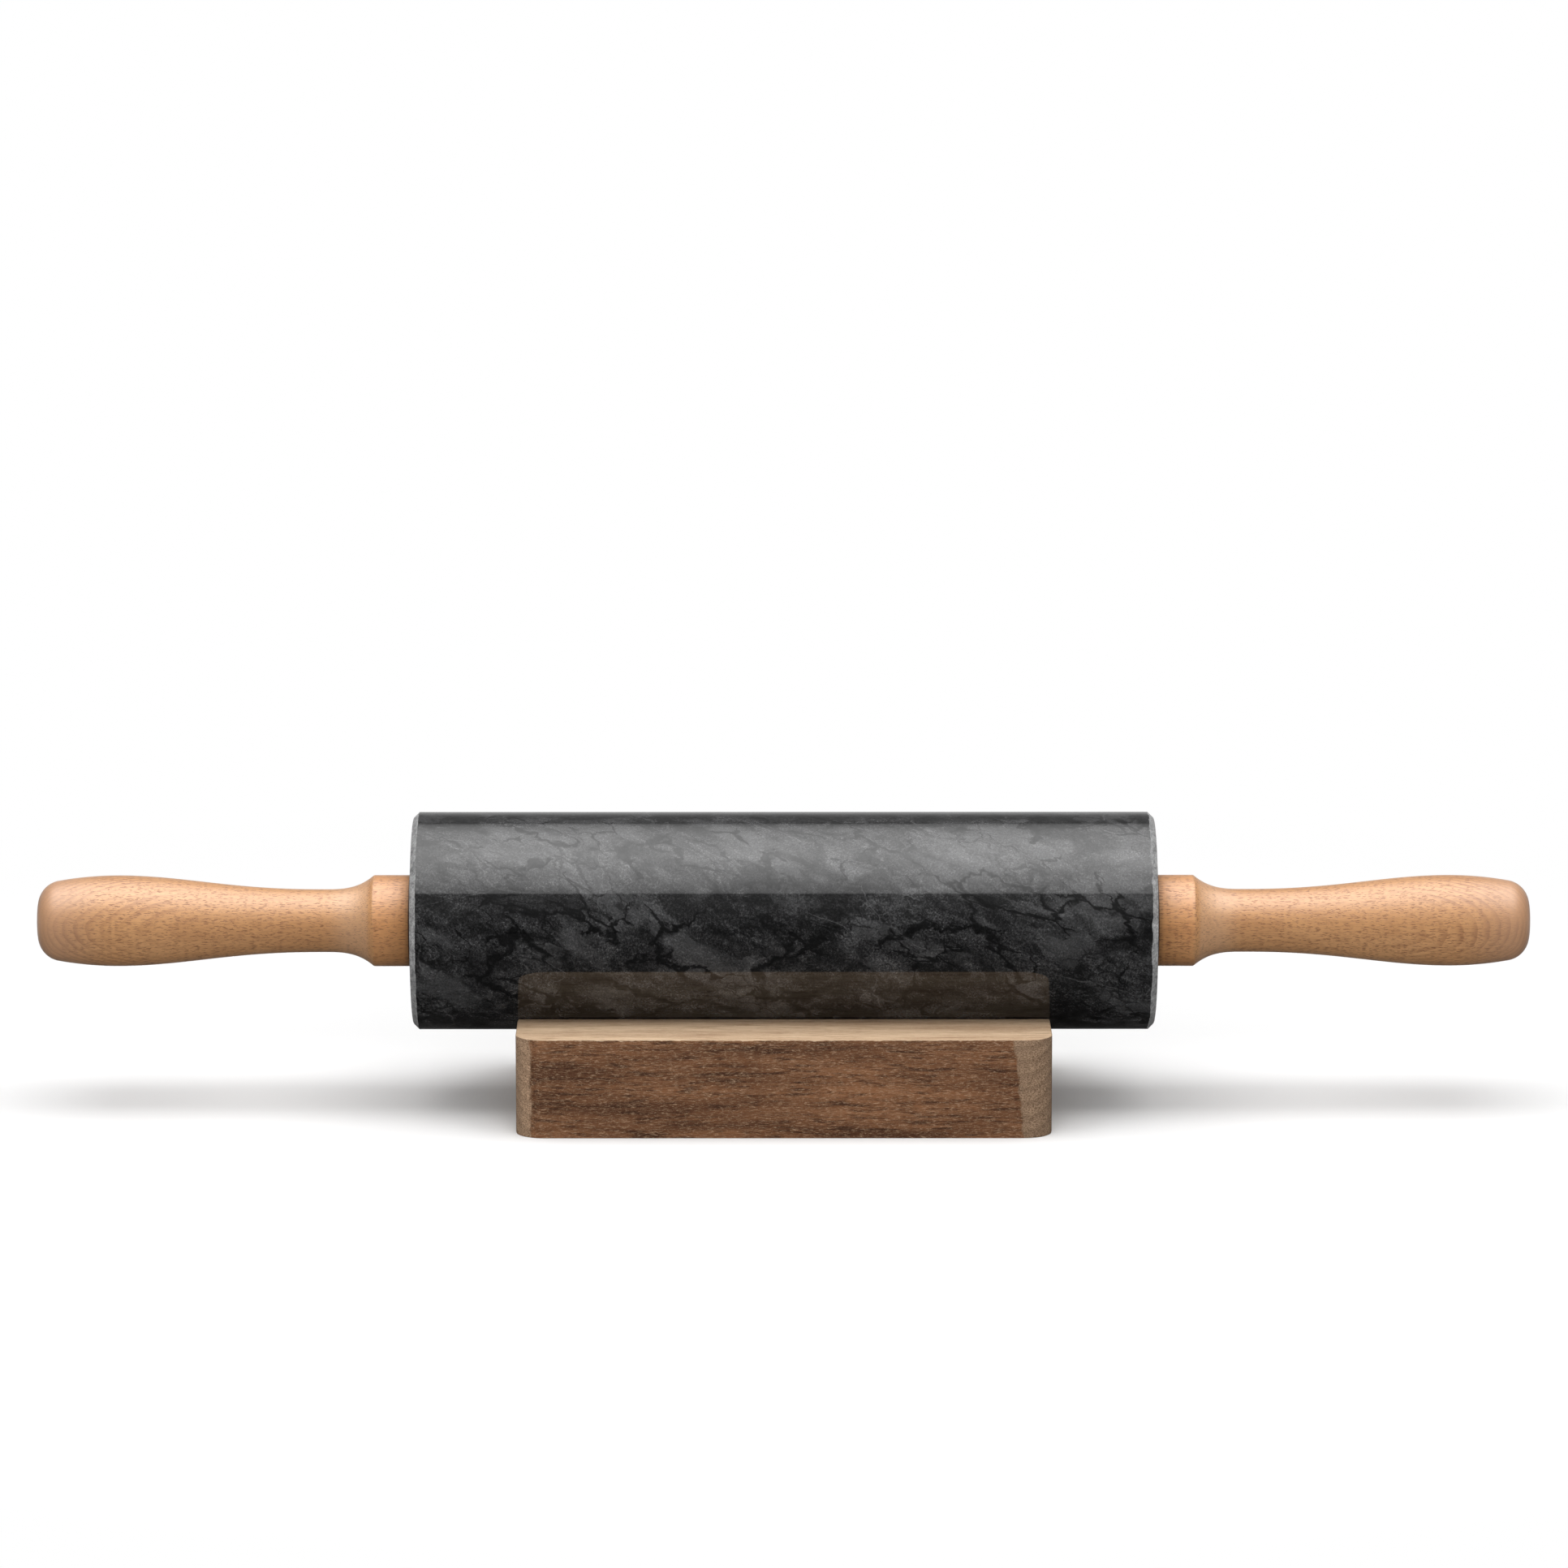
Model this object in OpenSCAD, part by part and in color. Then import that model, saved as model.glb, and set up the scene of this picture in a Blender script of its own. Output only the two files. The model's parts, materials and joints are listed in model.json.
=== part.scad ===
// A marble rolling pin that lies in its own wooden cradle.
// Millimetres. The origin is the centre of the cradle's underside, +X runs along the pin and +Z is up.
// The marble barrel turns on a steel rod. The rod joins the two handles and carries the barrel on two bushes.

/* [Marble barrel] */
// Diameter of the barrel
barrel_d = 67; // [55:0.5:80]
// Length of the barrel
barrel_len = 228; // [180:1:300]
// Width of the ground bevel round each end face
barrel_bevel = 1.7; // [0.5:0.1:4]

/* [Axle] */
// Diameter of the steel rod, which is threaded at both ends
rod_d = 8; // [6:0.5:10]
// Radial running clearance of the bushes on the rod
rod_clearance = 0.05; // [0.03:0.01:0.1]
// Length of rod end left out of the far end of each insert
rod_setback = 1; // [0.5:0.5:4]
// Bevel on each end of the rod
rod_bevel = 0.8; // [0.3:0.1:1.2]

/* [Bearing bushes] */
// Wall of a bush between the rod and the marble
bush_wall = 4.95; // [3:0.05:7]
// Length of a bush inside the barrel, flange included
bush_len = 20; // [10:1:40]
// How far the flange reaches past the bush's body
flange_lip = 4; // [2:0.5:6]
// Thickness of the flange, which lies flush with the marble
flange_t = 2; // [1:0.25:4]

/* [Thrust washers] */
// Outer diameter of a washer
washer_d = 22; // [20.5:0.25:23]
// Thickness of a washer
washer_t = 1.5; // [1:0.1:2.5]
// Clearance of a washer round the rod and in its recess
washer_clearance = 0.3; // [0.1:0.05:0.5]
// Axial play between a washer and the bush it runs against
washer_play = 0.3; // [0.2:0.05:0.5]

/* [Handle hardware] */
// Radial clearance of the plain bores that stand for threads
thread_clearance = 0.02; // [0.01:0.01:0.1]
// Wall of the lock nut from thread to flat
nut_wall = 2.5; // [2:0.1:3]
// Thickness of the lock nut
nut_t = 4; // [3:0.25:6]
// Clearance round and in front of the lock nut in its pocket
nut_clearance = 0.5; // [0.3:0.1:0.8]
// Wall of the threaded insert
insert_wall = 2; // [1.5:0.1:3]
// Length of the threaded insert
insert_len = 20; // [12:1:26]
// Width of each ring cut into the insert, and least space between two
insert_ring = 1.5; // [0.8:0.1:2]
// Depth of the rings cut into the insert
insert_ring_depth = 0.6; // [0.3:0.1:1]
// Depth that is drilled past the insert
drill_run_out = 3; // [1:0.5:8]

/* [Handles] */
// Gap seen between the marble and a handle's collar
collar_gap = 0.6; // [0.4:0.05:1.2]
// Length of a handle
handle_len = 115.4; // [95:0.1:140]
// Diameter of the collar next to the barrel
collar_d = 28.1; // [26:0.1:34]
// Length of the collar
collar_len = 11.4; // [8:0.1:16]
// Radius of the rounding where the collar meets the cove
collar_round = 1; // [0.4:0.1:2]
// Turn of that rounding, in degrees
collar_turn = 41; // [25:1:60]
// Bevel on the collar's inner rim
collar_bevel = 0.3; // [0.2:0.1:1]
// Diameter at the waist
waist_d = 19.38; // [18:0.01:24]
// Distance of the waist from the collar's face
waist_at = 27; // [22:0.5:34]
// Largest diameter of the grip
belly_d = 27.95; // [25:0.05:32]
// Distance of the largest diameter from the tip
belly_from_tip = 24.8; // [20:0.1:32]
// How late the grip swells, where 1 is an even swell
swell_lean = 1.2; // [1:0.05:1.6]
// Radius of the long curve from the belly towards the tip
belly_curve_r = 105; // [70:1:160]
// Radius of the rounding at the tip
tip_round = 7.5; // [4:0.1:10]
// How far the tip's face bulges past its rounding
tip_crown = 0.1; // [0.1:0.05:0.8]

/* [Cradle] */
// Length of the cradle along the pin
cradle_len = 163; // [120:1:220]
// Depth of the cradle from front to back
cradle_depth = 100; // [80:1:130]
// Height of the cradle
cradle_h = 30.5; // [24:0.5:45]
// Width of the groove across its top edges
groove_w = 42; // [34:0.5:50]
// Gap between the barrel and the groove it lies in
seat_gap = 0.3; // [0.2:0.05:0.6]
// Radius of the two front corners in plan
front_corner_r = 8.5; // [4:0.5:14]
// Radius of the two back corners in plan
back_corner_r = 5; // [3:0.5:14]

/* [Hidden] */
$fn = 96;

LEFT = -1;
RIGHT = 1;

// A cut runs this far past the face that it opens
over = 1;

// The groove follows the barrel, and its width sets how high the barrel lies
barrel_r = barrel_d / 2;
groove_r = barrel_r + seat_gap;
axis_z = cradle_h + sqrt(pow(groove_r, 2) - pow(groove_w / 2, 2));

// Bush, from the rod outwards
bush_bore_d = rod_d + 2 * rod_clearance;
bush_d = rod_d + 2 * (rod_clearance + bush_wall);
flange_d = bush_d + 2 * flange_lip;

// Washer, recess and pocket, as distances outwards from the barrel's end face
washer_from = washer_play;
washer_to = washer_from + washer_t;
washer_bore_d = rod_d + 2 * washer_clearance;
recess_d = washer_d + 2 * washer_clearance;
nut_from = washer_to + nut_clearance;
nut_to = nut_from + nut_t;
nut_af = rod_d + 2 * nut_wall;
nut_corners_d = nut_af / cos(30);
pocket_d = nut_corners_d + 2 * nut_clearance;
insert_d = rod_d + 2 * insert_wall;
thread_d = rod_d + 2 * thread_clearance;
insert_to = nut_to + insert_len;
drill_to = insert_to + drill_run_out;
rod_to = insert_to - rod_setback;
rod_len = barrel_len + 2 * rod_to;

// Handle outline: distances run from the collar's face to the tip
collar_r = collar_d / 2;
waist_r = waist_d / 2;
belly_r = belly_d / 2;
cove_from = collar_len + collar_round * sin(collar_turn);
cove_r = collar_r - collar_round * (1 - cos(collar_turn));
belly_at = handle_len - belly_from_tip;

// The tip's rounding lies inside the belly's curve and touches the crown
round_at = handle_len - tip_round - tip_crown;
belly_turn = asin((round_at - belly_at) / (belly_curve_r - tip_round));
round_r = belly_r - belly_curve_r + (belly_curve_r - tip_round) * cos(belly_turn);
crown_reach = tip_round + tip_crown;
crown_r = (pow(crown_reach, 2) + pow(round_r, 2) - pow(tip_round, 2)) / (2 * tip_crown);
crown_turn = asin(round_r / (crown_r - tip_round));

// Points along each stretch of the outline
ROUND_STEPS = 6;
COVE_STEPS = 12;
SWELL_STEPS = 26;
BELLY_STEPS = 8;
TIP_STEPS = 12;
CROWN_STEPS = 4;

// Radius of the hollow between the collar and the waist: steep at the collar, level at the waist
function cove(at) =
    waist_r + (cove_r - waist_r) * pow((waist_at - at) / (waist_at - cove_from), 3);

// Radius of the grip between the waist and the belly
function swell(at) =
    waist_r + (belly_r - waist_r)
    * (1 - cos(180 * pow((at - waist_at) / (belly_at - waist_at), swell_lean))) / 2;

function handle_outline() = concat(
    [[0, 0], [collar_r - collar_bevel, 0], [collar_r, collar_bevel]],
    [for (i = [0 : ROUND_STEPS - 1])
        let (turn = collar_turn * i / ROUND_STEPS)
        [collar_r - collar_round * (1 - cos(turn)), collar_len + collar_round * sin(turn)]],
    [for (i = [0 : COVE_STEPS - 1])
        let (at = cove_from + (waist_at - cove_from) * i / COVE_STEPS)
        [cove(at), at]],
    [for (i = [0 : SWELL_STEPS - 1])
        let (at = waist_at + (belly_at - waist_at) * i / SWELL_STEPS)
        [swell(at), at]],
    [for (i = [0 : BELLY_STEPS - 1])
        let (turn = belly_turn * i / BELLY_STEPS)
        [belly_r - belly_curve_r * (1 - cos(turn)), belly_at + belly_curve_r * sin(turn)]],
    [for (i = [0 : TIP_STEPS - 1])
        let (turn = belly_turn + (90 - crown_turn - belly_turn) * i / TIP_STEPS)
        [round_r + tip_round * cos(turn), round_at + tip_round * sin(turn)]],
    [for (i = [0 : CROWN_STEPS])
        let (turn = crown_turn * (1 - i / CROWN_STEPS))
        [crown_r * sin(turn), handle_len - crown_r * (1 - cos(turn))]]
);

// Turns a shape made along +Z so that it lies on the pin's axis, pointing to +X
module on_axis() {
    translate([0, 0, axis_z]) rotate([0, 90, 0]) children();
}

// Places a shape at one end of the barrel: its +Z runs outwards from the barrel's end face
module at_end(side) {
    if (side == RIGHT)
        on_axis() translate([0, 0, barrel_len / 2]) children();
    else
        mirror([1, 0, 0]) on_axis() translate([0, 0, barrel_len / 2]) children();
}

// A cylinder from one distance to another along +Z
module disc(d, from, to) {
    translate([0, 0, from]) cylinder(d = d, h = to - from);
}

// A cylinder with a bevel on both rims, standing on the origin
module bevelled_cylinder(d, h, bevel) {
    rotate_extrude()
        polygon([
            [0, 0], [d / 2 - bevel, 0], [d / 2, bevel],
            [d / 2, h - bevel], [d / 2 - bevel, h], [0, h]
        ]);
}

// Plan of the cradle, with its front corners rounder than its back ones
module cradle_plan() {
    half_len = cradle_len / 2;
    half_depth = cradle_depth / 2;
    translate([-half_len, front_corner_r - half_depth])
        square([cradle_len, cradle_depth - front_corner_r - back_corner_r]);
    translate([front_corner_r - half_len, -half_depth])
        square([cradle_len - 2 * front_corner_r, cradle_depth / 2]);
    translate([back_corner_r - half_len, 0])
        square([cradle_len - 2 * back_corner_r, half_depth]);
    for (side = [LEFT, RIGHT]) {
        translate([side * (half_len - front_corner_r), front_corner_r - half_depth])
            circle(r = front_corner_r);
        translate([side * (half_len - back_corner_r), half_depth - back_corner_r])
            circle(r = back_corner_r);
    }
}

module cradle() {
    color("peru")
    difference() {
        linear_extrude(height = cradle_h) cradle_plan();
        on_axis() disc(2 * groove_r, -cradle_len / 2 - over, cradle_len / 2 + over);
    }
}

module marble_barrel() {
    color("dimgray")
    difference() {
        on_axis() translate([0, 0, -barrel_len / 2])
            bevelled_cylinder(barrel_d, barrel_len, barrel_bevel);
        on_axis() disc(bush_d, -barrel_len / 2 - over, barrel_len / 2 + over);
        for (side = [LEFT, RIGHT])
            at_end(side) disc(flange_d, -flange_t, over);
    }
}

module axle_rod() {
    color("silver")
    on_axis() translate([0, 0, -rod_len / 2]) bevelled_cylinder(rod_d, rod_len, rod_bevel);
}

module bearing_bush(side) {
    color("darkslategray")
    at_end(side) difference() {
        union() {
            disc(bush_d, -bush_len, 0);
            disc(flange_d, -flange_t, 0);
        }
        disc(bush_bore_d, -bush_len - over, over);
    }
}

module thrust_washer(side) {
    color("black")
    at_end(side) difference() {
        disc(washer_d, washer_from, washer_to);
        disc(washer_bore_d, washer_from - over, washer_to + over);
    }
}

// A hexagon nut whose corners are turned off by a bevelled cylinder
module lock_nut(side) {
    corner_bevel = (nut_corners_d - nut_af) / 2;
    color("lightsteelblue")
    at_end(side) difference() {
        intersection() {
            translate([0, 0, nut_from]) cylinder(d = nut_corners_d, h = nut_t, $fn = 6);
            translate([0, 0, nut_from]) bevelled_cylinder(nut_corners_d, nut_t, corner_bevel);
        }
        disc(thread_d, nut_from - over, nut_to + over);
    }
}

// A sleeve with rings cut round it, which hold it in the wood
module threaded_insert(side) {
    ring_count = floor(insert_len / (2 * insert_ring)) - 1;
    ring_gap = (insert_len - ring_count * insert_ring) / (ring_count + 1);
    color("goldenrod")
    at_end(side) difference() {
        disc(insert_d, nut_to, insert_to);
        disc(thread_d, nut_to - over, insert_to + over);
        for (i = [0 : ring_count - 1]) {
            ring_from = nut_to + ring_gap + i * (insert_ring + ring_gap);
            difference() {
                disc(insert_d + over, ring_from, ring_from + insert_ring);
                disc(insert_d - 2 * insert_ring_depth, ring_from - over, ring_from + insert_ring + over);
            }
        }
    }
}

module handle(side) {
    color("burlywood")
    at_end(side) difference() {
        translate([0, 0, collar_gap]) rotate_extrude() polygon(handle_outline());
        disc(recess_d, collar_gap - over, washer_to);
        disc(pocket_d, collar_gap - over, nut_to);
        disc(insert_d, collar_gap - over, insert_to);
        disc(rod_d, collar_gap - over, drill_to);
    }
}

module left_bearing_bush() { bearing_bush(LEFT); }
module right_bearing_bush() { bearing_bush(RIGHT); }
module left_thrust_washer() { thrust_washer(LEFT); }
module right_thrust_washer() { thrust_washer(RIGHT); }
module left_lock_nut() { lock_nut(LEFT); }
module right_lock_nut() { lock_nut(RIGHT); }
module left_threaded_insert() { threaded_insert(LEFT); }
module right_threaded_insert() { threaded_insert(RIGHT); }
module left_handle() { handle(LEFT); }
module right_handle() { handle(RIGHT); }

cradle();
marble_barrel();
axle_rod();
left_bearing_bush();
right_bearing_bush();
left_thrust_washer();
right_thrust_washer();
left_lock_nut();
right_lock_nut();
left_threaded_insert();
right_threaded_insert();
left_handle();
right_handle();
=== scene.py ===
"""The looks of a marble rolling pin that lies in its own wooden cradle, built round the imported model."""

import json
import math

import bmesh
import bpy
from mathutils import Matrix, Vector, noise


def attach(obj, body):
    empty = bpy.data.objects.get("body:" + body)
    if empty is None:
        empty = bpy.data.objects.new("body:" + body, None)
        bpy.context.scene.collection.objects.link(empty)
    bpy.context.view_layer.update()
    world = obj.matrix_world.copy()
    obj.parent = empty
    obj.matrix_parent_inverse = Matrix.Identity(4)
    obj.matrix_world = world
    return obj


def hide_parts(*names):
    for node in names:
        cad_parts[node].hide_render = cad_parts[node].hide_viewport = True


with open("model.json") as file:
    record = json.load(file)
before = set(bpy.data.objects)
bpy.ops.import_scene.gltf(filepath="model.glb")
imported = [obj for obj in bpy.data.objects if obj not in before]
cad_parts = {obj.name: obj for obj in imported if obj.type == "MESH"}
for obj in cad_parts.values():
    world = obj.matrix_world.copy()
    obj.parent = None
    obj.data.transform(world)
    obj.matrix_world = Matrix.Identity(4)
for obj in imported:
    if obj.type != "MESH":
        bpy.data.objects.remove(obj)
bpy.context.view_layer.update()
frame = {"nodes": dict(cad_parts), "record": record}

MM = 0.001

# Camera, fitted to the photograph
TARGET = Vector((0.0001, 0.0, 0.09987))
DISTANCE = 2.2
AZIMUTH = math.radians(-0.1)
ELEVATION = math.radians(10.8)
VIEW_WIDTH = 0.4822
SENSOR = 36.0

# Sizes in millimetres, as in the model's source
BARREL_R = 33.5
BARREL_LEN = 228.0
BARREL_BEVEL = 1.7
BUSH_R = 9.0
FLANGE_R = 13.0
FLANGE_T = 2.0
RECESS_R = 11.3
RECESS_TO = 1.8
POCKET_R = 8.0056
POCKET_TO = 6.3
INSERT_R = 6.0
INSERT_TO = 26.3
ROD_R = 4.0
DRILL_TO = 29.3
COLLAR_GAP = 0.6
HANDLE_LEN = 115.4
COLLAR_R = 14.05
COLLAR_LEN = 11.4
COLLAR_ROUND = 1.0
COLLAR_TURN = math.radians(41)
COLLAR_BEVEL = 0.3
COVE_FROM = COLLAR_LEN + COLLAR_ROUND * math.sin(COLLAR_TURN)
COVE_R = COLLAR_R - COLLAR_ROUND * (1 - math.cos(COLLAR_TURN))
WAIST_R = 9.69
WAIST_AT = 27.0
BELLY_R = 13.975
BELLY_AT = HANDLE_LEN - 24.8
SWELL_LEAN = 1.2
BELLY_CURVE_R = 105.0
TIP_ROUND = 7.5
TIP_CROWN = 0.1
CRADLE_LEN = 163.0
CRADLE_DEPTH = 100.0
CRADLE_H = 30.5
GROOVE_W = 42.0
GROOVE_R = 33.8
FRONT_CORNER_R = 8.5
BACK_CORNER_R = 5.0
AXIS_Z = CRADLE_H + math.sqrt(GROOVE_R ** 2 - (GROOVE_W / 2) ** 2)

LEFT, RIGHT = -1, 1


def look_from(azimuth, elevation):
    return Vector((
        math.sin(azimuth) * math.cos(elevation),
        -math.cos(azimuth) * math.cos(elevation),
        math.sin(elevation),
    ))


def place(data, name, location, aim):
    thing = bpy.data.objects.new(name, data)
    thing.location = location
    thing.rotation_mode = "QUATERNION"
    thing.rotation_quaternion = (Vector(aim) - Vector(location)).to_track_quat("-Z", "Y")
    bpy.context.scene.collection.objects.link(thing)
    return thing


def make_camera():
    data = bpy.data.cameras.new("camera")
    data.sensor_width = SENSOR
    data.lens = SENSOR * DISTANCE / VIEW_WIDTH
    location = TARGET + look_from(AZIMUTH, ELEVATION) * DISTANCE
    bpy.context.scene.camera = place(data, "camera", location, TARGET)


# Node trees

class Net:
    """The node tree of a material or world, with a call for each kind of node. Scales are per metre."""

    def __init__(self, owner):
        self.owner = owner
        owner.use_nodes = True
        self.nodes = owner.node_tree.nodes
        self.links = owner.node_tree.links
        self.shader = self.nodes.get("Principled BSDF")
        self.where = self.nodes.new("ShaderNodeTexCoord")
        self.place = self.where.outputs["Object"]

    def put(self, socket, value):
        if isinstance(value, bpy.types.NodeSocket):
            self.links.new(value, socket)
        elif isinstance(value, (tuple, list)) and len(socket.default_value) == 4:
            socket.default_value = (*value[:3], 1)
        else:
            socket.default_value = value

    def math(self, operation, *values):
        node = self.nodes.new("ShaderNodeMath")
        node.operation = operation
        for socket, value in zip(node.inputs, values):
            self.put(socket, value)
        return node.outputs[0]

    def times(self, a, b):
        return self.math("MULTIPLY", a, b)

    def most(self, a, b):
        return self.math("MAXIMUM", a, b)

    def blend(self, *shares, offset=0.0):
        """Adds up values, each times its share."""
        total = offset
        for value, share in shares:
            total = self.math("MULTIPLY_ADD", value, share, total)
        return total

    def vector(self, operation, *values):
        node = self.nodes.new("ShaderNodeVectorMath")
        node.operation = operation
        for socket, value in zip(node.inputs, values):
            self.put(socket, value)
        return node.outputs["Value" if operation == "LENGTH" else "Vector"]

    def axis(self, vector, name):
        node = self.nodes.new("ShaderNodeSeparateXYZ")
        self.put(node.inputs[0], vector)
        return node.outputs[name]

    def stretch(self, vector, x, y, z):
        return self.vector("MULTIPLY", vector, (x, y, z))

    def shift(self, vector, x, y, z):
        return self.vector("ADD", vector, (x, y, z))

    def noise(self, vector, scale, detail=4.0, roughness=0.5, output="Fac"):
        node = self.nodes.new("ShaderNodeTexNoise")
        self.put(node.inputs["Vector"], vector)
        node.inputs["Scale"].default_value = scale
        node.inputs["Detail"].default_value = detail
        node.inputs["Roughness"].default_value = roughness
        return node.outputs[output]

    def ridged(self, vector, scale, detail):
        """Noise with sharp crests, from about 0 to 2."""
        node = self.nodes.new("ShaderNodeTexNoise")
        node.noise_type = "RIDGED_MULTIFRACTAL"
        node.normalize = False
        self.put(node.inputs["Vector"], vector)
        node.inputs["Scale"].default_value = scale
        node.inputs["Detail"].default_value = detail
        node.inputs["Roughness"].default_value = 0.6
        node.inputs["Offset"].default_value = 1.0
        node.inputs["Gain"].default_value = 1.6
        return node.outputs["Fac"]

    def warp(self, vector, scale, reach, detail=3.0):
        """Moves the place by up to reach, in noise of this scale."""
        shift = self.noise(vector, scale, detail, output="Color")
        shift = self.vector("SUBTRACT", shift, (0.5, 0.5, 0.5))
        return self.vector("ADD", vector, self.stretch(shift, reach, reach, reach))

    def cells(self, vector, scale, feature="F1", output="Distance"):
        node = self.nodes.new("ShaderNodeTexVoronoi")
        node.feature = feature
        self.put(node.inputs["Vector"], vector)
        node.inputs["Scale"].default_value = scale
        return node.outputs[output]

    def band(self, value, low, high, to_low=0.0, to_high=1.0, smooth=True):
        """Maps low..high to to_low..to_high and holds the ends."""
        node = self.nodes.new("ShaderNodeMapRange")
        node.interpolation_type = "SMOOTHSTEP" if smooth else "LINEAR"
        self.put(node.inputs["Value"], value)
        self.put(node.inputs["From Min"], low)
        self.put(node.inputs["From Max"], high)
        self.put(node.inputs["To Min"], to_low)
        self.put(node.inputs["To Max"], to_high)
        return node.outputs["Result"]

    def ramp(self, value, *stops):
        node = self.nodes.new("ShaderNodeValToRGB")
        self.put(node.inputs["Fac"], value)
        elements = node.color_ramp.elements
        while len(elements) < len(stops):
            elements.new(0.5)
        for element, (position, colour) in zip(elements, stops):
            element.position = position
            element.color = (*colour, 1)
        return node.outputs["Color"]

    def mix(self, factor, a, b, blend="MIX"):
        node = self.nodes.new("ShaderNodeMix")
        node.data_type = "RGBA"
        node.blend_type = blend
        self.put(node.inputs["Factor"], factor)
        self.put(node.inputs[6], a)
        self.put(node.inputs[7], b)
        return node.outputs[2]

    def tint(self, colour, factor):
        return self.mix(1.0, colour, factor, "MULTIPLY")

    def bump(self, height, depth, strength):
        node = self.nodes.new("ShaderNodeBump")
        node.inputs["Distance"].default_value = depth
        node.inputs["Strength"].default_value = strength
        self.put(node.inputs["Height"], height)
        return node.outputs["Normal"]

    def steady(self, **sockets):
        """Sets the shader's numbers that are the same all over the surface."""
        for name, value in sockets.items():
            self.shader.inputs[name.replace("_", " ")].default_value = value

    def finish(self, **sockets):
        for name, value in sockets.items():
            self.put(self.shader.inputs[name.replace("_", " ")], value)
        return self.owner


def surface(name):
    return Net(bpy.data.materials.new(name))


# Marble

# Torn flakes of slightly different greys, per metre of stone
FLAKES = 150
# How far the pattern is drawn out and leans along the barrel
LEAN = (-0.38, 0.18, 0.30)
# The speckles darken the stone, and this makes up for it
SPECKLE_GAIN = 1.7


def cracks(net, vector, scale, width, here):
    """Thin broken lines between cells, as wide as width where here is 1, and gone where it is 0."""
    edge = net.cells(vector, scale, "DISTANCE_TO_EDGE")
    reach = net.math("ADD", net.times(here, width), 0.0005)
    line = net.band(net.math("DIVIDE", edge, reach), 0.2, 1.0, 1.0, 0.0)
    return net.times(line, net.band(here, 0.02, 0.3))


def marble_places(net):
    """Four readings of the place in the stone, from drawn out along the barrel to torn."""
    lean = net.vector("MULTIPLY", net.axis(net.place, "X"), LEAN)
    long = net.vector("ADD", net.place, lean)
    slow = net.warp(long, 26, 0.014, 2)
    bent = net.warp(slow, 90, 0.008, 4)
    torn = net.warp(bent, 380, 0.0042, 7)
    return long, slow, bent, torn


def marble_body(net, bent, torn, flake):
    """How light the stone is under its marks, from about 0.3 to 0.8."""
    clouds = net.noise(bent, 70, 10, 0.7)
    mottle = net.noise(torn, 240, 8, 0.75)
    grit = net.noise(net.warp(net.place, 900, 0.0006), 1500, 4, 0.85)
    chip = net.axis(net.cells(net.shift(torn, 0.2, 0.1, 0.3), FLAKES * 2.4, output="Color"), "Y")
    shares = ((clouds, 0.14), (mottle, 0.78), (grit, 1.25), (flake, 0.05), (chip, 0.09))
    return net.blend(*shares, offset=-0.640)


def marble_dark(net, torn, flake, isles):
    """1 where the stone is crumpled and near black, and less in its hollow flakes."""
    ridges = net.ridged(torn, 58, 7)
    hollows = net.times(net.band(flake, 0.10, 0.18, 1.0, 0.0), net.band(isles, 0.42, 0.58))
    crumpled = net.times(net.band(ridges, 1.05, 1.45), net.band(isles, 0.45, 0.55))
    return net.most(net.times(hollows, 0.45), crumpled)


def marble_wisps(net, bent, isles):
    """1 in the pale wisps, which keep clear of the dark parts."""
    crests = net.ridged(net.stretch(net.shift(bent, 0.25, 0.65, 0.35), 0.5, 1.0, 1.0), 46, 7)
    return net.times(net.band(crests, 1.0, 1.6), net.band(isles, 0.42, 0.54, 1.0, 0.0))


def marble_veins(net, long, torn, here_fine):
    """1 in the black veins: torn, fine, and bold jagged ones, each in its own parts of the stone."""
    here = net.band(net.noise(net.shift(long, 0.2, 0.5, 0.9), 60, 4), 0.48, 0.63)
    here_bold = net.band(net.noise(net.shift(net.place, 0.7, 0.3, 0.2), 34, 2), 0.50, 0.61)
    jagged = net.warp(net.warp(net.place, 70, 0.016, 3), 420, 0.0050, 6)
    veins = cracks(net, torn, FLAKES * 0.6, 0.075, here)
    fine = cracks(net, torn, FLAKES * 1.2, 0.10, here_fine)
    bold = cracks(net, net.stretch(jagged, 0.5, 1.0, 1.0), 46, 0.060, here_bold)
    return net.most(net.most(veins, net.times(fine, 0.7)), bold)


def marble_grain(net, colour):
    """Lays fine speckles over the stone and keeps its brightness."""
    grain = net.noise(net.place, 2300, 4, 0.9)
    speckle = net.ramp(grain, (0.30, (0.24, 0.24, 0.24)), (0.70, (0.96, 0.96, 0.96)))
    return net.tint(net.tint(colour, speckle), (SPECKLE_GAIN,) * 3)


def marble_shine(net, body, dark, veined):
    """How strongly each place shines: veins and dark stone take less polish."""
    dull = net.most(net.times(veined, 0.8), net.times(dark, 0.6))
    shine = net.times(net.band(body, 0.34, 0.66, 0.86, 1.0), net.band(dull, 0, 1, 1.0, 0.80))
    return net.ramp(shine, (0, (0, 0, 0)), (1, (1, 1, 1)))


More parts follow.
